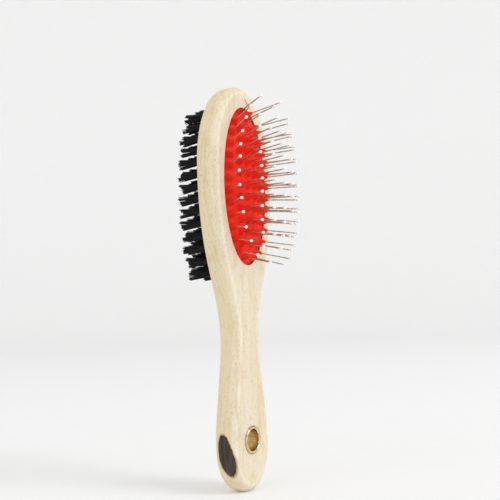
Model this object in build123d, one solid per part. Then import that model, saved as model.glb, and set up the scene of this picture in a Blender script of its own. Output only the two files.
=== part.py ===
from build123d import *
import os
from math import cos, radians, sin, sqrt, tan

# Double-sided grooming brush, in millimetres. The origin is the centre of the hanging hole,
# +Z runs up the brush to its head, the pins stand on the -Y side and the tufts on the +Y side.

# wood body
OVERALL_LENGTH = 220.0
THICKNESS = 13.4
BUTT_TO_HOLE = 27.0
HEAD_HALF_WIDTH = 28.8
NECK_HALF_WIDTH = 11.7
HANDLE_HALF_WIDTH = 17.4
BUTT_HALF_WIDTH = 18.0
HEAD_ARC_LENGTH = 46.0
BUTT_ARC_LENGTH = 24.0
EDGE_RADIUS = 4.6
FRONT = -THICKNESS / 2
BACK = THICKNESS / 2
BUTT = -BUTT_TO_HOLE

# air cushion and the pocket that holds it
CUSHION_CENTRE = BUTT + 164.4
CUSHION_HALF_WIDTH = 19.8
CUSHION_HALF_LENGTH = 43.6
DOME_HEIGHT = 5.6
DOME_SINK = 1.0
DOME_HALF_ANGLE = radians(50)
RUBBER = 1.5
FLANGE_REACH = 1.2
FLANGE_TOP = FRONT + 1.6
FLANGE_BOTTOM = FRONT + 3.2
POCKET_FLOOR = FRONT + 4.8
POCKET_GAP = 0.15
BOSS_HEIGHT = 3.4
BOSS_BASE_RADIUS = 2.4
BOSS_TIP_RADIUS = 0.7
BOSS_ROOT = 1.2

# pins: an outer ring that follows the oval, round five straight columns
PIN_RADIUS = 0.33
PIN_LENGTH = 16.6
PIN_HEAD_RADIUS = 0.7
PIN_HEAD_THICKNESS = 0.35
PIN_HEAD_DEPTH = 1.9
PIN_HOLE_GAP = 0.02
PIN_HEAD_GAP = 0.1
TIP_RADIUS = 0.8
TIP_NECK_LENGTH = 1.3
TIP_NECK_RADIUS = 0.42
TIP_SHOULDER = 0.9
PIN_FIELD_HALF_LENGTH = 41.6
RING_HALF_WIDTH = 16.7
RING_TILT = 40.0
RING_END_TILT = 12.0
RING_PITCH = 6.4
RING_ROWS = 13
FIRST_RING_ROW = BUTT + 128.2
RING_END_PAIR = (3.6, BUTT + 125.2)
COLUMN_SPACING = 5.4
COLUMN_TILT = 10.6
COLUMN_PITCH = 6.25
COLUMN_ROWS = 12
FIRST_COLUMN_ROW = BUTT + 132.35
WIDE_ROW = 0.75
NARROW_ROW = 0.55
FAN_ALONG = 0.0066
LEAN = 0.02
LEAN_TURN_ACROSS = 7.3
LEAN_TURN_ALONG = 4.1
RINGS = 7

# tufts, their drilled holes and flat wire anchors
TUFT_HOLE_RADIUS = 1.55
TUFT_HOLE_DEPTH = 5.2
TUFT_RADIUS = 1.5
TUFT_TIP_RADIUS = 1.9
TUFT_LENGTH = 17.2
TUFT_OUTER_COLUMN = 19.6
TUFT_COLUMNS = 7
TUFT_ROWS = 14
TUFT_ROW_PITCH = 6.72
TUFT_STEP = TUFT_ROW_PITCH / 3
FIRST_TUFT_ROW = BUTT + 116.3
TUFT_FIELD_CENTRE = BUTT + 160.0
TUFT_FIELD_HALF_LENGTH = 51.0
TUFT_FIELD_ROUNDNESS = 2.4
ANCHOR_THICKNESS = 0.4
ANCHOR_DEPTH = 1.6
FIBRE_UNDER_ANCHOR = 0.4
TUFT_END_GAP = 0.05

# eyelet
EYELET_BORE_RADIUS = 5.5
EYELET_WALL = 0.4
EYELET_RIM_RADIUS = 7.6
EYELET_RIM_HEIGHT = 0.9
EYELET_CREST_SHIFT = 0.2
EYELET_SEAM = 0.1
EYELET_GAP = 0.03
WOOD_HOLE_RADIUS = EYELET_BORE_RADIUS + EYELET_WALL + EYELET_GAP

# how a round bar stands on its plane
STANDING = (Align.CENTER, Align.CENTER, Align.MIN)
HANGING = (Align.CENTER, Align.CENTER, Align.MAX)


def oval_prism(half_width, half_length, y_low, y_high):
    """An upright slab of oval section on the cushion's centre, between two depths."""
    oval = Plane.XZ.offset(-y_high) * Pos(0, CUSHION_CENTRE) * Ellipse(half_width, half_length)
    return extrude(oval, amount=y_high - y_low)


def wood_outline():
    """Half of the paddle's outline, then its mirror: an oval head, a waist, and a rounded butt."""
    head_z = BUTT + OVERALL_LENGTH - HEAD_ARC_LENGTH
    butt_z = BUTT + BUTT_ARC_LENGTH
    head = EllipticalCenterArc((0, head_z), HEAD_HALF_WIDTH, HEAD_ARC_LENGTH, 0, arc_size=90)
    side = Spline(
        (HEAD_HALF_WIDTH, head_z),
        (27.6, BUTT + 150),
        (21.5, BUTT + 121),
        (14.3, BUTT + 99),
        (NECK_HALF_WIDTH, BUTT + 82),
        (14.3, BUTT + 57),
        (HANDLE_HALF_WIDTH, BUTT + 36),
        (BUTT_HALF_WIDTH, butt_z),
        tangents=[(0, -1), (0, -1)],
    )
    butt = EllipticalCenterArc((0, butt_z), BUTT_HALF_WIDTH, BUTT_ARC_LENGTH, 270, arc_size=90)
    half = [head, side, butt]
    return make_face(half + [edge.mirror(Plane.YZ) for edge in half])


def wood_body():
    """The paddle, with the cushion's undercut pocket, the hanging hole and the drilled tuft holes."""
    body = extrude(Plane.XZ * wood_outline(), amount=THICKNESS / 2, both=True)
    flats = body.faces().sort_by(Axis.Y)
    body = fillet(flats[0].edges() + flats[-1].edges(), EDGE_RADIUS)
    mouth = (CUSHION_HALF_WIDTH + POCKET_GAP, CUSHION_HALF_LENGTH + POCKET_GAP)
    groove = (mouth[0] + FLANGE_REACH, mouth[1] + FLANGE_REACH)
    well = (CUSHION_HALF_WIDTH - RUBBER, CUSHION_HALF_LENGTH - RUBBER)
    cuts = [
        oval_prism(*mouth, FRONT - 1, FLANGE_TOP),
        oval_prism(*groove, FLANGE_TOP - POCKET_GAP / 3, FLANGE_BOTTOM),
        oval_prism(*well, FLANGE_BOTTOM - 1, POCKET_FLOOR),
        Rot(90, 0, 0) * Cylinder(WOOD_HOLE_RADIUS, THICKNESS + 2),
    ]
    for row in range(TUFT_ROWS):
        cuts += [tuft_hole(x, z) for x, z in tuft_row(row)]
    return body - cuts


def dome_cap(half_width, half_length, height):
    """The cap of an ellipsoid that stands on the cushion's seat, bulging to the front."""
    seat = FRONT + DOME_SINK
    full_height = height / (1 - cos(DOME_HALF_ANGLE))
    stretch = (half_width / sin(DOME_HALF_ANGLE), full_height, half_length / sin(DOME_HALF_ANGLE))
    centre = Pos(0, seat + full_height * cos(DOME_HALF_ANGLE), CUSHION_CENTRE)
    return split(centre * scale(Sphere(1), by=stretch), Plane.XZ.offset(-seat), keep=Keep.TOP)


def dome_rise(x, z):
    """Height of the dome over the wood's front face."""
    share = (x / CUSHION_HALF_WIDTH) ** 2 + ((z - CUSHION_CENTRE) / CUSHION_HALF_LENGTH) ** 2
    full_height = (DOME_HEIGHT + DOME_SINK) / (1 - cos(DOME_HALF_ANGLE))
    cap = sqrt(1 - share * sin(DOME_HALF_ANGLE) ** 2) - cos(DOME_HALF_ANGLE)
    return full_height * cap - DOME_SINK


def narrowing(z):
    """How far the pin field has drawn in at this height, from 1 at its middle to 0 at its ends."""
    return sqrt(1 - ((z - CUSHION_CENTRE) / PIN_FIELD_HALF_LENGTH) ** 2)


def pin_spots():
    """Each pin's place on the oval and its tilt across it, in degrees: first the ring, then the columns."""
    spots = []
    for row in range(RING_ROWS):
        z = FIRST_RING_ROW + row * RING_PITCH
        share = narrowing(z)
        tilt = RING_END_TILT + (RING_TILT - RING_END_TILT) * share
        spots += [(side * RING_HALF_WIDTH * share, z, side * tilt) for side in (-1, 1)]
    end_x, end_z = RING_END_PAIR
    spots += [(side * end_x, end_z, side * RING_END_TILT) for side in (-1, 1)]
    for row in range(COLUMN_ROWS):
        z = FIRST_COLUMN_ROW + row * COLUMN_PITCH
        share = narrowing(z)
        if share > WIDE_ROW:
            columns = (-2, -1, 0, 1, 2)
        else:
            columns = (-2, 0, 2) if share > NARROW_ROW else (0,)
        spots += [(column * COLUMN_SPACING * share, z, column * COLUMN_TILT) for column in columns]
    return spots


def pin_places():
    """Each pin as a plane: its origin on the dome, its normal along the wire."""
    places = []
    for number, (x, z, tilt) in enumerate(pin_spots()):
        across = tan(radians(tilt)) + LEAN * sin(LEAN_TURN_ACROSS * number)
        along = FAN_ALONG * (z - CUSHION_CENTRE) + LEAN * sin(LEAN_TURN_ALONG * number + 1)
        origin = (x, FRONT - dome_rise(x, z), z)
        places.append(Plane(origin, x_dir=(1, across, 0), z_dir=(across, -1, along)))
    return places


def rod(place, radius, start, end):
    """A round bar along a pin's axis, from start to end beyond the dome."""
    return place * Pos(0, 0, start) * Cylinder(radius, end - start, align=STANDING)


def boss(place):
    """The moulded rubber cone round one pin."""
    cone = Cone(BOSS_BASE_RADIUS, BOSS_TIP_RADIUS, BOSS_ROOT + BOSS_HEIGHT, align=STANDING)
    return place * Pos(0, 0, -BOSS_ROOT) * cone


def air_cushion(places):
    """The rubber dome with its bosses, open underneath, on a flange that sits in the groove."""
    height = DOME_HEIGHT + DOME_SINK
    outer = (CUSHION_HALF_WIDTH, CUSHION_HALF_LENGTH)
    inner = (outer[0] - RUBBER, outer[1] - RUBBER)
    flange = (outer[0] + FLANGE_REACH, outer[1] + FLANGE_REACH)
    seat = FRONT + DOME_SINK
    reach = FRONT - DOME_HEIGHT - 2 * BOSS_HEIGHT
    dome = dome_cap(*outer, height) + [boss(place) for place in places]
    rubber = (dome & oval_prism(*outer, reach, FLANGE_TOP)) + [
        oval_prism(*outer, seat, FLANGE_BOTTOM),
        oval_prism(*flange, FLANGE_TOP, FLANGE_BOTTOM),
    ]
    cuts = [dome_cap(*inner, height - RUBBER), oval_prism(*inner, seat, FLANGE_BOTTOM)]
    for place in places:
        cuts.append(rod(place, PIN_RADIUS + PIN_HOLE_GAP, -PIN_HEAD_DEPTH, BOSS_HEIGHT + 1))
        seat_end = PIN_HEAD_GAP - PIN_HEAD_DEPTH
        cuts.append(rod(place, PIN_HEAD_RADIUS + PIN_HEAD_GAP, seat_end - 1, seat_end))
    return rubber - cuts


def pin(place):
    """One steel wire with the flat head that holds it under the rubber."""
    head = rod(place, PIN_HEAD_RADIUS, -PIN_HEAD_DEPTH - PIN_HEAD_THICKNESS, -PIN_HEAD_DEPTH)
    return rod(place, PIN_RADIUS, -PIN_HEAD_DEPTH, BOSS_HEIGHT + PIN_LENGTH) + head


def pin_tip(place):
    """The drop-shaped bead on the end of one wire, with the blind hole that the wire ends in."""
    end = BOSS_HEIGHT + PIN_LENGTH
    neck = Cone(TIP_NECK_RADIUS, TIP_RADIUS * TIP_SHOULDER, TIP_NECK_LENGTH, align=HANGING)
    bead = place * Pos(0, 0, end) * (Sphere(TIP_RADIUS) + neck)
    return bead - rod(place, PIN_RADIUS, end - 2 * TIP_NECK_LENGTH, end)


def ring_of(place, lowest):
    """The ring that a pin belongs to, from 0 at the crown of the dome to the lowest at its rim."""
    rise = dome_rise(place.origin.X, place.origin.Z)
    step = (DOME_HEIGHT - lowest) / RINGS
    return min(RINGS - 1, int((DOME_HEIGHT - rise) / step))


def tuft_row(row):
    """The places of one row of tufts: a chevron that climbs inwards, drawn in at the field's ends."""
    places = []
    middle = TUFT_COLUMNS // 2
    for column in range(-middle, middle + 1):
        z = FIRST_TUFT_ROW + row * TUFT_ROW_PITCH + (middle - abs(column)) % 3 * TUFT_STEP
        along = abs(z - TUFT_FIELD_CENTRE) / TUFT_FIELD_HALF_LENGTH
        reach = TUFT_OUTER_COLUMN * (1 - along ** TUFT_FIELD_ROUNDNESS) ** (1 / TUFT_FIELD_ROUNDNESS)
        places.append((column / middle * reach, z))
    return places


def tuft_hole(x, z):
    """One blind hole, drilled from the back face."""
    depth = TUFT_HOLE_DEPTH + 1
    hole = Rot(90, 0, 0) * Cylinder(TUFT_HOLE_RADIUS, depth)
    return Pos(x, BACK + 1 - depth / 2, z) * hole


def anchor(x, z):
    """The flat wire that wedges across a hole and holds the folded filaments."""
    width = 2 * sqrt(TUFT_HOLE_RADIUS ** 2 - (ANCHOR_THICKNESS / 2) ** 2)
    y = BACK - TUFT_HOLE_DEPTH + FIBRE_UNDER_ANCHOR + ANCHOR_DEPTH / 2
    return Pos(x, y, z) * Box(width, ANCHOR_DEPTH, ANCHOR_THICKNESS)


def tuft(x, z):
    """One bundle of filaments: a round stem in the hole that spreads a little to its tip."""
    stem_length = TUFT_HOLE_DEPTH - TUFT_END_GAP
    stem = Pos(0, BACK - stem_length / 2, 0) * Rot(90, 0, 0) * Cylinder(TUFT_RADIUS, stem_length)
    brush = Rot(-90, 0, 0) * Cone(TUFT_RADIUS, TUFT_TIP_RADIUS, TUFT_LENGTH)
    spread = Pos(0, BACK + TUFT_LENGTH / 2, 0) * brush
    y = BACK - TUFT_HOLE_DEPTH + FIBRE_UNDER_ANCHOR + ANCHOR_DEPTH / 2
    slot = Pos(0, y, 0) * Box(4 * TUFT_RADIUS, ANCHOR_DEPTH, ANCHOR_THICKNESS)
    return Pos(x, 0, z) * (stem + spread - slot)


def eyelet(side):
    """Half of the brass eyelet: a barrel to the middle of the wood and a rolled rim on its face."""
    face = THICKNESS / 2
    outer = EYELET_BORE_RADIUS + EYELET_WALL
    crest = (EYELET_RIM_RADIUS + EYELET_BORE_RADIUS) / 2 + EYELET_CREST_SHIFT
    barrel_end = (EYELET_BORE_RADIUS, EYELET_SEAM)
    rim = [
        Line(barrel_end, (outer, EYELET_SEAM)),
        Line((outer, EYELET_SEAM), (outer, face)),
        Line((outer, face), (EYELET_RIM_RADIUS, face)),
        ThreePointArc(
            (EYELET_RIM_RADIUS, face),
            (crest, face + EYELET_RIM_HEIGHT),
            (EYELET_BORE_RADIUS, face),
        ),
        Line((EYELET_BORE_RADIUS, face), barrel_end),
    ]
    turned = revolve(make_face(rim), Axis.Y)
    return turned if side > 0 else turned.mirror(Plane.XZ)


def write(name, solids):
    """Write one node, a single solid or a group of like solids, to its own file."""
    shape = solids[0] if len(solids) == 1 else Compound(children=solids)
    shape.label = name
    export_step(shape, os.path.join("parts", name + ".step"))


def main():
    os.makedirs("parts", exist_ok=True)
    places = pin_places()
    lowest = min(dome_rise(place.origin.X, place.origin.Z) for place in places)
    write("wood_body", [wood_body()])
    write("air_cushion", [air_cushion(places)])
    write("eyelet_front", [eyelet(-1)])
    write("eyelet_back", [eyelet(1)])
    for ring in range(RINGS):
        members = [place for place in places if ring_of(place, lowest) == ring]
        rises = [dome_rise(place.origin.X, place.origin.Z) for place in members]
        travel_share = sum(rises) / len(rises) / DOME_HEIGHT
        print("ring", ring + 1, len(members), "pins, travel share", round(travel_share, 4))
        write(f"pins_ring_{ring + 1}", [pin(place) for place in members])
        write(f"pin_tips_ring_{ring + 1}", [pin_tip(place) for place in members])
    for row in range(TUFT_ROWS):
        write(f"tufts_row_{row + 1:02d}", [tuft(x, z) for x, z in tuft_row(row)])
        write(f"tuft_anchors_row_{row + 1:02d}", [anchor(x, z) for x, z in tuft_row(row)])


main()
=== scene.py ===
import random
from math import cos, pi, radians, sin, sqrt, tan

import bpy
from mathutils import Matrix, Vector


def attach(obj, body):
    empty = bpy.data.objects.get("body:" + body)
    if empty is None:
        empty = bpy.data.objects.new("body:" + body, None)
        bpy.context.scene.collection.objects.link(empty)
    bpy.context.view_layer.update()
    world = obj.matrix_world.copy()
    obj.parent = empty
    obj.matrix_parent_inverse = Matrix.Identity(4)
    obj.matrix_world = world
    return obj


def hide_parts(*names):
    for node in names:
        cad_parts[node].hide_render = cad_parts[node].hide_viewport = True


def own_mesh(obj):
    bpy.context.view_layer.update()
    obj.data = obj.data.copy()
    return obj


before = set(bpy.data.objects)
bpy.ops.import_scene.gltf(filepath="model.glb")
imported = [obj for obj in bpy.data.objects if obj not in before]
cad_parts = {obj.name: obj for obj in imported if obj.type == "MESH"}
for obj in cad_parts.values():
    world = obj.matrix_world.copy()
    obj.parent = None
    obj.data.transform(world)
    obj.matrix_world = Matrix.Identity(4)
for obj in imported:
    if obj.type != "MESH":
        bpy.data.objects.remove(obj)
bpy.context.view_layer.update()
bpy.ops.object.select_all(action="DESELECT")

# Wood body: one piece of pale beech, routed to a paddle, sanded and left without varnish.
# Its side was scorched dark at the butt, and a hairline crack shows over the cushion's pocket.
# The grain runs along the handle, with faint growth rings, ochre streaks and short brown flecks.
WOOD_PALE = (0.79, 0.68, 0.465, 1)
WOOD_SAP = (0.76, 0.675, 0.53, 1)
WOOD_OCHRE = (0.63, 0.475, 0.24, 1)
WOOD_RIDGE_HIGHLIGHT = (0.9, 0.82, 0.66, 1)
WOOD_RING = (0.68, 0.55, 0.335, 1)
WOOD_FLECK = (0.33, 0.2, 0.09, 1)
CHAR = (0.03, 0.021, 0.016, 1)
CHAR_GREY = (0.072, 0.053, 0.041, 1)
SINGED = (0.4, 0.17, 0.055, 1)
SCORCH_MIDDLE_Z = -0.0075
SCORCH_UP = 0.0122
SCORCH_DOWN = 0.0098
SCORCH_HALF_WIDTH = 0.0044
SCORCH_LEAN = 0.125
SCORCH_OFF_MIDDLE = 0.0005
SCORCH_NARROWING = 0.16
SCORCHED_SIDE_X = (-0.009, -0.0115)
CUSHION_Z = 0.1374
CUSHION_HALF_WIDTH = 0.0198
CUSHION_HALF_LENGTH = 0.0436
POCKET_SHADE = (0.12, 0.035, 0.018, 1)
POCKET_EDGE = (1.03, 1.018)
POCKET_MOUTH_Y = (-0.00668, -0.00655)
POCKET_FLOOR_Y = (0.0, -0.001)
CRACK_TOP_X = 0.0034
CRACK_TOP_Z = 0.1850
CRACK_DROP = 0.0008
CRACK_LEAN = -0.75
CRACK_HALF_LENGTH = 0.0034
CRACK_WIDTH = (0.0011, 0.0003)
CRACK_WANDER = 0.004
HEART_X = 0.011
HEART_Y = 0.05
GROWTH_RING = 0.0023
GROWTH_WARP = 0.007
GROWTH_TAPER = 0.03
SAPWOOD_WARP = 0.006
SAPWOOD_Y = (-0.003, -0.0064)
FRONT_Y = (-0.0045, -0.006)


class Shade:
    """A socket in a finish's node tree. Arithmetic on it adds Math nodes."""

    def __init__(self, tree, socket=None):
        self.tree = tree
        self.socket = socket

    def node(self, kind, settings, sockets, out=0):
        """Adds any node: its type, its settings, then the values or links of its sockets."""
        made = self.tree.nodes.new("ShaderNode" + kind)
        for name, value in settings.items():
            setattr(made, name, value)
        for name, value in sockets.items():
            if isinstance(value, Shade):
                self.tree.links.new(value.socket, made.inputs[name])
            else:
                made.inputs[name].default_value = value
        return Shade(self.tree, made.outputs[out])

    def math(self, operation, *others):
        return self.node("Math", {"operation": operation}, dict(enumerate((self, *others))))

    def __add__(self, other):
        return self.math("ADD", other)

    def __sub__(self, other):
        return self.math("SUBTRACT", other)

    def __rsub__(self, other):
        return self * -1 + other

    def __mul__(self, other):
        return self.math("MULTIPLY", other)

    def __truediv__(self, other):
        return self.math("DIVIDE", other)

    __radd__ = __add__
    __rmul__ = __mul__

    def step(self, low, high):
        """A soft step from 0 below low to 1 above high, or the other way round."""
        bounds = {"From Min": min(low, high), "From Max": max(low, high)}
        ends = {"To Min": float(low > high), "To Max": float(low <= high)}
        return self.node(
            "MapRange", {"interpolation_type": "SMOOTHSTEP"}, {"Value": self, **bounds, **ends}
        )

    def axes(self):
        """The X, Y and Z of these coordinates."""
        split = self.node("SeparateXYZ", {}, {"Vector": self}).socket.node
        return [Shade(self.tree, output) for output in split.outputs]

    def squared(self):
        return self * self

    def bump(self, strength, distance):
        """This height, raised on the surface."""
        return self.node("Bump", {}, {"Height": self, "Strength": strength, "Distance": distance})

    def mix(self, under, over):
        """This mask lays one colour over another."""
        return self.node(
            "Mix", {"data_type": "RGBA", "clamp_factor": True}, {0: self, 6: under, 7: over}, out=2
        )

    def noise(self, scale, detail=2.0, rough=0.5, stretch=(1, 1, 1), shift=(0, 0, 0)):
        """Cloudy noise on these coordinates, scale cells to the metre before the stretch."""
        place = self.node("Mapping", {}, {"Vector": self, "Scale": stretch, "Location": shift})
        return self.node(
            "TexNoise", {}, {"Vector": place, "Scale": scale, "Detail": detail, "Roughness": rough}
        )


def new_finish(name, **constants):
    """A material with its object coordinates, and a function that links its varying inputs."""
    material = bpy.data.materials.new(name)
    material.use_nodes = True
    tree = material.node_tree
    shader = tree.nodes["Principled BSDF"]
    for key, value in constants.items():
        shader.inputs[key.replace("_", " ")].default_value = value

    def finish(**inputs):
        for key, shade in inputs.items():
            tree.links.new(shade.socket, shader.inputs[key.replace("_", " ")])
        return material

    return Shade(tree).node("TexCoord", {}, {}, out="Object"), finish


def wood_finish():
    place, finish = new_finish("pale_wood", Specular_IOR_Level=0.32)
    x, y, z = place.axes()
    fibres = place.noise(1900, detail=3, rough=0.6, stretch=(1, 1, 0.03))
    streaks = place.noise(330, detail=3, stretch=(1, 1, 0.07), shift=(0.4, 0.1, 0))
    clouds = place.noise(38, detail=3, stretch=(1, 1, 0.45), shift=(0.1, 0.7, 0.2))
    mottle = place.noise(620, detail=2, stretch=(1, 1, 0.5), shift=(0.3, 0.2, 0.1))
    blotches = place.noise(170, detail=4, rough=0.65, stretch=(1, 1, 0.4), shift=(0.6, 0.3, 0.8))
    specks = place.noise(1900, detail=1, stretch=(1, 1, 0.34), shift=(0.2, 0.9, 0.6))
    flecks = specks.step(0.63, 0.72) * clouds.step(0.38, 0.58)

    warp = place.noise(55, detail=2, stretch=(1, 1, 0.3)) - 0.5
    from_heart = ((x - HEART_X).squared() + (y - HEART_Y).squared()).math("SQRT")
    from_heart = from_heart + warp * GROWTH_WARP + z * GROWTH_TAPER
    rings = (from_heart * (2 * pi / GROWTH_RING)).math("SINE") * 0.5 + 0.5
    sapwood = (y + warp * SAPWOOD_WARP).step(*SAPWOOD_Y)
    colour = sapwood.mix(WOOD_PALE, WOOD_SAP)
    colour = (rings.step(0.35, 1.0) * 0.26 * clouds.step(0.35, 0.6)).mix(colour, WOOD_RING)

    # A painted highlight runs along the rounded edges between the faces and the sides, paler where
    # they meet the faces.
    facing = place.node("TexCoord", {}, {}, out="Normal").axes()[1].math("ABSOLUTE")
    ridge_highlight = facing.step(0.88, 0.945) * facing.step(0.9995, 0.99)
    colour = (ridge_highlight * 0.38).mix(colour, WOOD_RIDGE_HIGHLIGHT)
    colour = (streaks.step(0.5, 0.78) * 0.5 * clouds.step(0.4, 0.62)).mix(colour, WOOD_OCHRE)
    colour = (blotches.step(0.5, 0.72) * 0.42).mix(colour, WOOD_OCHRE)
    colour = (mottle.step(0.5, 0.72) * 0.2).mix(colour, WOOD_OCHRE)
    colour = (fibres.step(0.52, 0.8) * 0.3).mix(colour, WOOD_RING)
    colour = (flecks * 0.42).mix(colour, WOOD_FLECK)

    crack_along = (z - CRACK_TOP_Z + CRACK_DROP) / CRACK_HALF_LENGTH
    crack_across = x - CRACK_TOP_X - (z - CRACK_TOP_Z) * CRACK_LEAN
    crack_across = crack_across + (streaks - 0.5) * CRACK_WANDER
    crack = crack_across.math("ABSOLUTE").step(*CRACK_WIDTH) * y.step(*FRONT_Y)
    crack = crack * crack_along.squared().step(1.0, 0.35)
    colour = (crack * mottle.step(0.3, 0.6) * 0.8).mix(colour, WOOD_FLECK)

    # The walls of the cushion's pocket are painted dark brown, as shade in the gap round the
    # rubber.
    pocket_z = (z - CUSHION_Z) / CUSHION_HALF_LENGTH
    pocket_shade = ((x / CUSHION_HALF_WIDTH).squared() + pocket_z.squared()).step(*POCKET_EDGE)
    pocket_shade = pocket_shade * y.step(*POCKET_MOUTH_Y) * y.step(*POCKET_FLOOR_Y)
    colour = (pocket_shade * 0.85).mix(colour, POCKET_SHADE)

    # The scorch is an egg on the side of the butt, ragged at its edge and singed brown round it.
    torn = place.noise(1500, detail=3, rough=0.65, stretch=(1, 1, 0.3))
    ragged = (torn - 0.5) * 0.45 + (mottle - 0.5) * 0.12
    along = z - SCORCH_MIDDLE_Z
    above = along.math("MAXIMUM", 0.0) / SCORCH_UP
    below = along.math("MINIMUM", 0.0) / SCORCH_DOWN
    across = (y + SCORCH_OFF_MIDDLE - z * SCORCH_LEAN) / SCORCH_HALF_WIDTH
    across = across * (above * SCORCH_NARROWING + 1)
    burn = across.squared() + above.squared() * above + below.squared() + ragged
    side = x.step(*SCORCHED_SIDE_X)
    singed = burn.step(1.32, 0.98) * side
    charred = burn.step(1.02, 0.92) * side
    colour = (singed * 0.75).mix(colour, SINGED)
    colour = charred.mix(colour, streaks.step(0.4, 0.7).mix(CHAR, CHAR_GREY))

    rough = 0.56 + (mottle - 0.5) * 0.16 + flecks * 0.15 + charred * 0.12
    height = fibres * 0.6 + mottle * 0.3 - flecks * 1.1 - crack * 3 - charred * streaks * 1.4
    return finish(Base_Color=colour, Roughness=rough, Normal=height.bump(0.35, 0.00012))


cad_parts["wood_body"].material_slots[0].material = wood_finish()

# Eyelet halves: thin brass, pressed. Each has a barrel through the hanging hole and a rim that is
# rolled over onto the wood, with a fine turned-down lip round it. The barrels meet in mid wood.
FACE = 0.0067
EYELET_STEPS = 72
EYELET_PROFILE = (
    (5.50, 6.10),
    (5.54, 6.62),
    (5.68, 7.05),
    (5.95, 7.38),
    (6.30, 7.55),
    (6.64, 7.50),
    (6.90, 7.30),
    (7.04, 7.06),
    (7.12, 6.98),
    (7.22, 7.04),
    (7.38, 7.09),
    (7.52, 7.02),
    (7.60, 6.86),
    (7.60, 6.70),
    (5.90, 6.70),
    (5.90, 0.10),
    (5.50, 0.10),
)
MM = 0.001
BRASS = (0.77, 0.63, 0.4, 1)
BRASS_DULL = (0.64, 0.47, 0.26, 1)
BRASS_DARKENED = (0.16, 0.11, 0.045, 1)
GROOVE_RADIUS = 0.00711
GROOVE_WIDTH = (0.00017, 0.00004)
LIP_RADII = (0.00744, 0.00756)


def open_for_editing(obj):
    """Takes one object into edit mode, alone."""
    bpy.ops.object.select_all(action="DESELECT")
    bpy.context.view_layer.objects.active = obj
    obj.select_set(True)
    bpy.ops.object.mode_set(mode="EDIT")


def settle(obj, angle=40):
    """Leaves edit mode, shades the piece, and puts its place into its mesh."""
    bpy.ops.object.mode_set(mode="OBJECT")
    bpy.ops.object.transform_apply(location=True, rotation=True, scale=True)
    bpy.ops.object.shade_smooth_by_angle(angle=radians(angle))
    obj.select_set(False)
    return obj


def carry_rim(move, grow, about):
    """Draws the selected rim on by one step: moved, then grown or drawn in about a point."""
    bpy.ops.mesh.extrude_region_move(TRANSFORM_OT_translate={"value": move})
    bpy.ops.transform.resize(value=grow, center_override=about)


def brass_finish():
    place, finish = new_finish("brass", Metallic=1.0)
    clouds = place.noise(420, detail=4, rough=0.6)
    scratches = place.noise(2600, detail=2, stretch=(1, 0.2, 1))
    x, y, z = place.axes()
    radius = (x.squared() + z.squared()).math("SQRT")
    # The groove in the rim and the outer lip are painted darker and made rougher.
    groove = (radius - GROOVE_RADIUS).math("ABSOLUTE").step(*GROOVE_WIDTH)
    groove_and_lip_darkening = (groove * 0.75).math("MAXIMUM", radius.step(*LIP_RADII) * 0.7)
    colour = clouds.step(0.4, 0.72).mix(BRASS, BRASS_DULL)
    colour = groove_and_lip_darkening.mix(colour, BRASS_DARKENED)
    rough = 0.08 + clouds.step(0.35, 0.75) * 0.07 + scratches * 0.05 + groove_and_lip_darkening * 0.3
    return finish(Base_Color=colour, Roughness=rough, Normal=scratches.bump(0.12, 0.00005))


brass = brass_finish()
for name, side in (("eyelet_front", -1), ("eyelet_back", 1)):
    radius, height = EYELET_PROFILE[-1]
    bpy.ops.mesh.primitive_circle_add(
        vertices=EYELET_STEPS,
        radius=radius * MM,
        location=(0, side * height * MM, 0),
        rotation=(radians(90), 0, 0),
    )
    half = bpy.context.object
    half.name = name + "_rolled"
    open_for_editing(half)
    for next_radius, next_height in EYELET_PROFILE:
        carry_rim(
            (0, side * (next_height - height) * MM, 0),
            (next_radius / radius,) * 3,
            (0, side * next_height * MM, 0),
        )
        radius, height = next_radius, next_height
    bpy.ops.mesh.select_all(action="SELECT")
    bpy.ops.mesh.remove_doubles(threshold=0.00001)
    bpy.ops.mesh.normals_make_consistent(inside=False)
    settle(half, angle=50)
    half.data.materials.append(brass)
    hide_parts(name)
    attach(half, "brush")

# Air cushion: one moulding of soft red rubber. Its dome has a concave cone round every pin. The
# undercut groove of the pocket holds its rim, a flange, and there is only air under the dome.
DOME_HEIGHT = 0.0056
DOME_SINK = 0.001
DOME_ANGLE = radians(50)
RUBBER = 0.0015
FLANGE_REACH = 0.0012
FLANGE_DEPTHS = (0.0016, 0.0032)
SHRUNK_SHARE = 0.016
SHRUNK_POWER = 16
GRID_ACROSS = 56
GRID_ALONG = 120
BOSS_BASE = 0.0025
BOSS_TIP = 0.00062
BOSS_HEIGHT = 0.0034
BOSS_HOLLOW = 1.6
BOSS_TOP = ((0.00014, 0.00012), (0.00016, 0.00003))
BOSS_LIFT = 0.00003
BOSS_STEPS = 20
BOSS_RINGS = 9
PIN_FIELD_HALF_LENGTH = 0.0416
EDGE_ROWS = 13
EDGE_FIRST_Z = 0.1012
EDGE_PITCH = 0.0064
EDGE_HALF_WIDTH = 0.0167
EDGE_TILT = 12
EDGE_EXTRA_TILT = 28
END_PAIR_X = 0.0036
END_PAIR_Z = 0.0982
COLUMN_ROWS = 12
COLUMN_FIRST_Z = 0.10535
COLUMN_PITCH_ALONG = 0.00625
COLUMN_PITCH_ACROSS = 0.0054
COLUMN_TILT = 10.6
FIVE_COLUMNS_SHARE = 0.75
THREE_COLUMNS_SHARE = 0.55
LEAN_ALONG = 6.6
LEAN_SCATTER = 0.02
RUBBER_RED = (0.82, 0.02, 0.006, 1)
RUBBER_DEEP = (0.72, 0.014, 0.004, 1)
RUBBER_BLOOM = (0.9, 0.1, 0.05, 1)
RUBBER_DUST = (0.9, 0.42, 0.33, 1)


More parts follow.
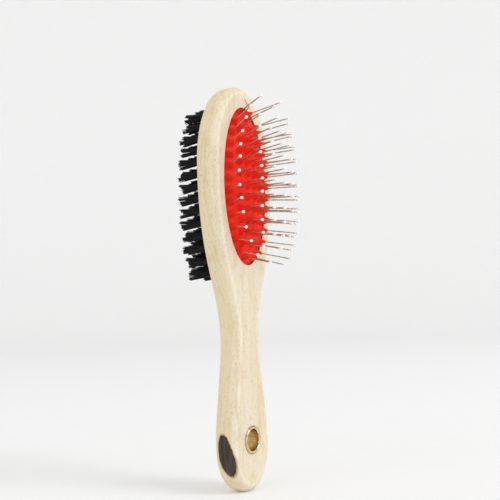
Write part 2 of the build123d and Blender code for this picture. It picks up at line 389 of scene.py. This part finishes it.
def dome_height(x, z, inner=0.0):
    """How far the rubber stands over the wood's face, outside, or inside by a wall's thickness."""
    width, length = CUSHION_HALF_WIDTH - inner, CUSHION_HALF_LENGTH - inner
    share = min(1.0, (x / width) ** 2 + ((z - CUSHION_Z) / length) ** 2)
    full_height = (DOME_HEIGHT + DOME_SINK - inner) / (1 - cos(DOME_ANGLE))
    return full_height * (sqrt(1 - share * sin(DOME_ANGLE) ** 2) - cos(DOME_ANGLE)) - DOME_SINK


def domed_grid(inner=0.0):
    """A grid drawn out to the cushion's oval, shrunk at its top end, and raised to its dome."""
    bpy.ops.mesh.primitive_grid_add(
        x_subdivisions=GRID_ACROSS, y_subdivisions=GRID_ALONG, size=2, rotation=(radians(90), 0, 0)
    )
    grid = bpy.context.object
    bpy.ops.object.transform_apply(location=True, rotation=True, scale=True)
    for vertex in grid.data.vertices:
        across, along = vertex.co.x, vertex.co.z
        x = (CUSHION_HALF_WIDTH - inner) * across * sqrt(1 - along * along / 2)
        end_share = along * sqrt(1 - across * across / 2)
        z = CUSHION_Z + (CUSHION_HALF_LENGTH - inner) * end_share
        shrunk = max(0.0, end_share) ** SHRUNK_POWER * SHRUNK_SHARE * (CUSHION_HALF_LENGTH - inner)
        vertex.co = (x, -FACE - dome_height(x, z, inner), z - shrunk)
    return grid


def pin_spots():
    """The place of each pin and its tilt in degrees: the oval of edge pins, then the columns."""
    spots = []

    def narrowing(z):
        return sqrt(1 - ((z - CUSHION_Z) / PIN_FIELD_HALF_LENGTH) ** 2)

    for row in range(EDGE_ROWS):
        z = EDGE_FIRST_Z + row * EDGE_PITCH
        share = narrowing(z)
        x, tilt = EDGE_HALF_WIDTH * share, EDGE_TILT + EDGE_EXTRA_TILT * share
        spots += [(-x, z, -tilt), (x, z, tilt)]
    spots += [(-END_PAIR_X, END_PAIR_Z, -EDGE_TILT), (END_PAIR_X, END_PAIR_Z, EDGE_TILT)]
    for row in range(COLUMN_ROWS):
        z = COLUMN_FIRST_Z + row * COLUMN_PITCH_ALONG
        share = narrowing(z)
        if share > FIVE_COLUMNS_SHARE:
            columns = (-2, -1, 0, 1, 2)
        elif share > THREE_COLUMNS_SHARE:
            columns = (-2, 0, 2)
        else:
            columns = (0,)
        for column in columns:
            spots.append((column * COLUMN_PITCH_ACROSS * share, z, column * COLUMN_TILT))
    return spots


def copies(name, pattern, shapers):
    """One mesh of many copies of a pattern. Each shaper puts the points of one copy in place."""
    points = [vertex.co.copy() for vertex in pattern.data.vertices]
    faces = [tuple(face.vertices) for face in pattern.data.polygons]
    count = len(points)
    mesh = bpy.data.meshes.new(name)
    mesh.from_pydata(
        [shaper(point) for shaper in shapers for point in points],
        [],
        [[corner + k * count for corner in face] for k in range(len(shapers)) for face in faces],
    )
    made = bpy.data.objects.new(name, mesh)
    bpy.context.collection.objects.link(made)
    return made


def boss_shaper(number, spot):
    """Sets the boss on the dome at a pin's spot, leaning along that pin, a little unevenly."""
    x0, z0, tilt = spot
    across = tan(radians(tilt)) + LEAN_SCATTER * sin(7.3 * number)
    along = LEAN_ALONG * (z0 - CUSHION_Z) + LEAN_SCATTER * sin(4.1 * number + 1)
    lean = Vector((across, -1, along)).normalized()

    def shape(point):
        x, z = x0 + point.x, z0 + point.y
        foot = Vector((x, -FACE - dome_height(x, z) + BOSS_LIFT, z))
        return foot + lean * point.z

    return shape


def join_to(piece, other):
    """Makes one object of two."""
    bpy.ops.object.select_all(action="DESELECT")
    other.select_set(True)
    piece.select_set(True)
    bpy.context.view_layer.objects.active = piece
    bpy.ops.object.join()


def rubber_finish():
    place, finish = new_finish("red_rubber", Specular_IOR_Level=0.17)
    clouds = place.noise(90, detail=3)
    bloom = place.noise(700, detail=4, rough=0.65)
    dust = place.noise(2300, detail=1)
    specks = dust.step(0.74, 0.79)
    colour = clouds.step(0.35, 0.7).mix(RUBBER_RED, RUBBER_DEEP)
    colour = (bloom.step(0.55, 0.8) * 0.22).mix(colour, RUBBER_BLOOM)
    colour = (specks * 0.35).mix(colour, RUBBER_DUST)
    rough = 0.42 + bloom * 0.2 + specks * 0.2
    height = bloom * 0.7 + dust * 0.3
    return finish(Base_Color=colour, Roughness=rough, Normal=height.bump(0.2, 0.00008))


outer = domed_grid()
outer.name = "air_cushion_moulding"
open_for_editing(outer)
bpy.ops.mesh.select_all(action="SELECT")
bpy.ops.mesh.region_to_loop()
oval = (0, 0, CUSHION_Z)
width, length = CUSHION_HALF_WIDTH, CUSHION_HALF_LENGTH
depth = -DOME_SINK
for reach, next_depth in (
    (0.0, -FLANGE_DEPTHS[0]),
    (FLANGE_REACH, -FLANGE_DEPTHS[0]),
    (FLANGE_REACH, -FLANGE_DEPTHS[1]),
    (-RUBBER, -FLANGE_DEPTHS[1]),
    (-RUBBER, -DOME_SINK),
):
    next_width, next_length = CUSHION_HALF_WIDTH + reach, CUSHION_HALF_LENGTH + reach
    carry_rim((0, depth - next_depth, 0), (next_width / width, 1, next_length / length), oval)
    width, length, depth = next_width, next_length, next_depth
bpy.ops.object.mode_set(mode="OBJECT")
join_to(outer, domed_grid(RUBBER))
open_for_editing(outer)
bpy.ops.mesh.select_all(action="SELECT")
bpy.ops.mesh.remove_doubles(threshold=0.00002)
bpy.ops.mesh.normals_make_consistent(inside=False)
bpy.ops.object.mode_set(mode="OBJECT")

bpy.ops.object.select_all(action="DESELECT")
bpy.ops.mesh.primitive_circle_add(vertices=BOSS_STEPS, radius=BOSS_BASE, fill_type="NGON")
boss = bpy.context.object
open_for_editing(boss)
bpy.ops.mesh.select_all(action="SELECT")
radius, height = BOSS_BASE, 0.0
for ring in range(1, BOSS_RINGS + 1):
    share = ring / BOSS_RINGS
    next_radius = BOSS_BASE + (BOSS_TIP - BOSS_BASE) * share
    next_height = BOSS_HEIGHT * share ** BOSS_HOLLOW
    bpy.ops.mesh.inset(thickness=(radius - next_radius) * cos(pi / BOSS_STEPS), depth=0)
    bpy.ops.transform.translate(value=(0, 0, next_height - height))
    radius, height = next_radius, next_height
for draw_in, rise in BOSS_TOP:
    bpy.ops.mesh.inset(thickness=draw_in, depth=0)
    bpy.ops.transform.translate(value=(0, 0, rise))
bpy.ops.object.mode_set(mode="OBJECT")
bosses = copies(
    "bosses", boss, [boss_shaper(number, spot) for number, spot in enumerate(pin_spots())]
)
bpy.data.objects.remove(boss)
join_to(outer, bosses)
open_for_editing(outer)
cushion = settle(outer, angle=50)
cushion.data.materials.append(rubber_finish())
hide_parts("air_cushion")
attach(cushion, "brush")
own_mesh(cushion)

# Pins: drawn steel wire with a warm, slightly oxidised surface, cut to one length. A flat head
# under the rubber holds each one, and a drop-shaped bead of white enamel is baked onto its end.
PIN_RINGS = 7
WIRE = (0.56, 0.46, 0.37, 1)
WIRE_DARK = (0.36, 0.25, 0.17, 1)
ENAMEL = (0.93, 0.92, 0.9, 1)
ENAMEL_WORN = (0.8, 0.76, 0.7, 1)


def wire_finish():
    place, finish = new_finish("steel_wire", Metallic=1.0)
    clouds = place.noise(500, detail=3, rough=0.6)
    drawn = place.noise(3500, detail=2, stretch=(1, 0.06, 1))
    colour = clouds.step(0.38, 0.7).mix(WIRE, WIRE_DARK)
    rough = 0.3 + clouds.step(0.4, 0.75) * 0.2
    return finish(Base_Color=colour, Roughness=rough, Normal=drawn.bump(0.15, 0.00003))


def bead_finish():
    place, finish = new_finish("white_bead", Specular_IOR_Level=0.5)
    clouds = place.noise(800, detail=3)
    colour = clouds.step(0.45, 0.75).mix(ENAMEL, ENAMEL_WORN)
    rough = 0.22 + clouds * 0.14
    return finish(Base_Color=colour, Roughness=rough, Normal=clouds.bump(0.15, 0.00005))


wire = wire_finish()
enamel = bead_finish()
for ring in range(1, PIN_RINGS + 1):
    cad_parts[f"pins_ring_{ring}"].material_slots[0].material = wire
    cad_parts[f"pin_tips_ring_{ring}"].material_slots[0].material = enamel

# Tufts: bundles of stiff black nylon filaments, each folded over a flat wire anchor at the bottom
# of a drilled hole. They part into a few clumps that spread and end at uneven lengths.
TUFT_ROWS = 14
TUFT_COLUMNS = 7
HOLE_DEPTH = 0.0052
TUFT_LENGTH = 0.0172
TUFT_STEM = 0.00138
FILAMENT_RADIUS = 0.00018
FILAMENTS = 56
CLUMPS = 4
FILAMENT_SIDES = 5
FILAMENT_BENDS = 4
FIRST_ROW_Z = 0.0893
ROW_PITCH = 0.00672
CHEVRON_STEP = 0.00224
TUFT_FIELD_Z = 0.133
TUFT_FIELD_HALF_LENGTH = 0.051
TUFT_FIELD_HALF_WIDTH = 0.0196
TUFT_FIELD_SQUARENESS = 2.4
CLUMP_SWING = 0.4
CLUMP_LEAN = (0.0002, 0.0009)
CLUMP_SHORTFALL = 0.0036
SHORTFALL_POWER = 1.4
FILAMENT_SHORTFALL = 0.0004
SPIRAL_TURN = 2.39996
SPLAY = 0.00085
STRAY = 0.00016
BEND_POWER = 1.25
ANCHOR_GAP = 0.0001
TUFT_SEED = 11
NYLON = (0.0045, 0.0045, 0.005, 1)
NYLON_WORN = (0.012, 0.012, 0.0125, 1)


def tuft_row(row):
    """The places of one row of tufts: a shallow chevron, drawn in at the ends of the field."""
    places = []
    middle = TUFT_COLUMNS // 2
    for column in range(-middle, middle + 1):
        z = FIRST_ROW_Z + row * ROW_PITCH + (middle - abs(column)) % 3 * CHEVRON_STEP
        along = abs(z - TUFT_FIELD_Z) / TUFT_FIELD_HALF_LENGTH
        narrowing = (1 - along ** TUFT_FIELD_SQUARENESS) ** (1 / TUFT_FIELD_SQUARENESS)
        places.append((column / middle * TUFT_FIELD_HALF_WIDTH * narrowing, z))
    return places


def filament_shapers(draw, x, z):
    """The filaments of one tuft, each with its clump's direction and a length of its own."""
    clumps = []
    turn = draw.uniform(0, 2 * pi)
    for k in range(CLUMPS):
        angle = turn + 2 * pi * k / CLUMPS + draw.uniform(-CLUMP_SWING, CLUMP_SWING)
        lean = draw.uniform(*CLUMP_LEAN)
        clumps.append((angle, lean, CLUMP_SHORTFALL * draw.random() ** SHORTFALL_POWER))
    shapers = []
    for k in range(FILAMENTS):
        reach = TUFT_STEM * sqrt((k + 0.5) / FILAMENTS)
        angle = k * SPIRAL_TURN
        outward = Vector((cos(angle), 0, sin(angle)))
        way, lean, shortfall = min(clumps, key=lambda clump: -cos(clump[0] - angle))
        length = TUFT_LENGTH - shortfall - FILAMENT_SHORTFALL * draw.random()
        stray = Vector((draw.uniform(-1, 1), 0, draw.uniform(-1, 1))) * STRAY
        spread = outward * (SPLAY * reach / TUFT_STEM) + stray
        spread += Vector((cos(way), 0, sin(way))) * lean
        shapers.append(filament_shape(Vector((x, 0, z)) + outward * reach, spread, length))
    return shapers


def filament_shape(root, spread, length):
    """Stands a filament on the anchor; it spreads only where it is out of the hole."""

    def shape(point):
        out = max(0.0, point.z * (length + HOLE_DEPTH) - HOLE_DEPTH) / length
        rise = ANCHOR_GAP + point.z * (length + HOLE_DEPTH - ANCHOR_GAP)
        foot = root + Vector((point.x, FACE - HOLE_DEPTH + rise, point.y))
        return foot + spread * out ** BEND_POWER

    return shape


def nylon_finish():
    place, finish = new_finish("black_nylon", Specular_IOR_Level=0.25)
    clouds = place.noise(260, detail=2)
    strands = place.noise(3000, detail=2, stretch=(1, 0.05, 1))
    colour = strands.step(0.4, 0.7).mix(NYLON, NYLON_WORN)
    rough = 0.45 + clouds * 0.16
    return finish(Base_Color=colour, Roughness=rough, Normal=strands.bump(0.1, 0.00003))


nylon = nylon_finish()
bpy.ops.object.select_all(action="DESELECT")
bpy.ops.mesh.primitive_cylinder_add(
    vertices=FILAMENT_SIDES, radius=FILAMENT_RADIUS, depth=1, location=(0, 0, 0.5)
)
filament = bpy.context.object
bpy.ops.object.transform_apply(location=True, rotation=True, scale=True)
open_for_editing(filament)
for k in range(1, FILAMENT_BENDS):
    bpy.ops.mesh.select_all(action="SELECT")
    bpy.ops.mesh.bisect(plane_co=(0, 0, k / FILAMENT_BENDS), plane_no=(0, 0, 1))
bpy.ops.object.mode_set(mode="OBJECT")
draw = random.Random(TUFT_SEED)
for row in range(TUFT_ROWS):
    shapers = []
    for x, z in tuft_row(row):
        shapers += filament_shapers(draw, x, z)
    bundle = copies(f"tuft_filaments_row_{row + 1:02d}", filament, shapers)
    open_for_editing(bundle)
    bpy.ops.mesh.select_all(action="SELECT")
    bpy.ops.mesh.normals_make_consistent(inside=False)
    settle(bundle, angle=80)
    bundle.data.materials.append(nylon)
    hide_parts(f"tufts_row_{row + 1:02d}")
    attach(bundle, "brush")
bpy.data.objects.remove(filament)

# Tuft anchors: short lengths of flat galvanised wire, wedged across the bottoms of the holes. The
# filaments hide them unless a tuft has been pulled out.
ZINC = (0.6, 0.6, 0.6, 1)
ZINC_DULL = (0.38, 0.38, 0.39, 1)


def anchor_finish():
    place, finish = new_finish("anchor_wire", Metallic=1.0)
    spangle = place.noise(1500, detail=3, rough=0.6)
    colour = spangle.step(0.4, 0.7).mix(ZINC, ZINC_DULL)
    rough = 0.35 + spangle * 0.2
    return finish(Base_Color=colour, Roughness=rough, Normal=spangle.bump(0.15, 0.00003))


anchor_wire = anchor_finish()
for row in range(TUFT_ROWS):
    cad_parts[f"tuft_anchors_row_{row + 1:02d}"].material_slots[0].material = anchor_wire

# The stage: the brush stands on its butt on a pale floor that curves up into a wall all round. A
# broad soft light stands to the right, a weaker one fills from the left, and pale air lights it.
FLOOR_Z = -0.0271
FLOOR_RADIUS = 3.0
FLOOR_SIDES = 96
COVE_RADIUS = 1.2
COVE_STEPS = 12
WALL_HEIGHT = 2.0
CAMERA_AZIMUTH = radians(-56.357)
CAMERA_ELEVATION = radians(-5.047)
CAMERA_ROLL = radians(-1.70)
CAMERA_DISTANCE = 0.4388
CAMERA_LENS = 57.6
CAMERA_SENSOR = 36
CAMERA_NEAR = 0.01
AIM_Z = 0.083
AIM_RIGHT = 0.006515
AIM_UP = 0.01941
PAPER = (0.8, 0.8, 0.8, 1)
PAPER_WARM = (0.82, 0.82, 0.815, 1)
WHITE = (1, 1, 1, 1)
AIR_STRENGTH = 0.7

toward = Vector(
    (
        sin(CAMERA_AZIMUTH) * cos(CAMERA_ELEVATION),
        -cos(CAMERA_AZIMUTH) * cos(CAMERA_ELEVATION),
        sin(CAMERA_ELEVATION),
    )
)
level = Vector((cos(CAMERA_AZIMUTH), sin(CAMERA_AZIMUTH), 0))
upward = toward.cross(level)
right = level * cos(CAMERA_ROLL) + upward * sin(CAMERA_ROLL)
top = upward * cos(CAMERA_ROLL) - level * sin(CAMERA_ROLL)
aim = Vector((0, 0, AIM_Z)) + right * AIM_RIGHT + top * AIM_UP
turn = Matrix((right, top, toward)).transposed().to_euler()
bpy.ops.object.camera_add(location=aim + toward * CAMERA_DISTANCE, rotation=turn)
camera = bpy.context.object
camera.data.lens = CAMERA_LENS
camera.data.sensor_width = CAMERA_SENSOR
camera.data.clip_start = CAMERA_NEAR
camera.data.dof.use_dof = False
bpy.context.scene.camera = camera

bpy.ops.object.select_all(action="DESELECT")
bpy.ops.mesh.primitive_circle_add(
    vertices=FLOOR_SIDES, radius=FLOOR_RADIUS, fill_type="NGON", location=(0, 0, FLOOR_Z)
)
floor = bpy.context.object
floor.name = "studio_floor"
open_for_editing(floor)
bpy.ops.mesh.select_all(action="SELECT")
bpy.ops.mesh.region_to_loop()
radius, height = FLOOR_RADIUS, 0.0
for step in range(1, COVE_STEPS + 1):
    angle = pi / 2 * step / COVE_STEPS
    next_radius = FLOOR_RADIUS + COVE_RADIUS * sin(angle)
    next_height = COVE_RADIUS * (1 - cos(angle))
    grow = next_radius / radius
    carry_rim((0, 0, next_height - height), (grow, grow, 1), (0, 0, 0))
    radius, height = next_radius, next_height
carry_rim((0, 0, WALL_HEIGHT), (1, 1, 1), (0, 0, 0))
settle(floor, angle=60)


def paper_finish():
    place, finish = new_finish(
        "pale_paper",
        Roughness=0.9,
        Specular_IOR_Level=0.1,
        Emission_Color=WHITE,
        Emission_Strength=0.125,
    )
    return finish(Base_Color=place.noise(60, detail=4).mix(PAPER_WARM, PAPER))


floor.data.materials.append(paper_finish())


def soft_light(name, across, near, up, distance, size, power):
    """A square light that faces the brush, placed across, towards and above the camera's view."""
    middle = Vector((0, 0, AIM_Z))
    direction = level * across + toward * near + Vector((0, 0, up))
    spot = middle + direction.normalized() * distance
    aimed = (middle - spot).to_track_quat("-Z", "Y").to_euler()
    bpy.ops.object.light_add(type="AREA", location=spot, rotation=aimed)
    light = bpy.context.object
    light.name = name
    light.data.shape = "SQUARE"
    light.data.size = size
    light.data.energy = power


soft_light("key", across=1.0, near=0.55, up=0.85, distance=4.2, size=1.8, power=61)
soft_light("fill", across=-0.8, near=0.9, up=0.75, distance=4.2, size=3.0, power=22)
world = bpy.data.worlds.new("pale_air")
world.use_nodes = True
world.node_tree.nodes["Background"].inputs["Color"].default_value = WHITE
world.node_tree.nodes["Background"].inputs["Strength"].default_value = AIR_STRENGTH
bpy.context.scene.world = world
bpy.context.scene.view_settings.view_transform = "Standard"
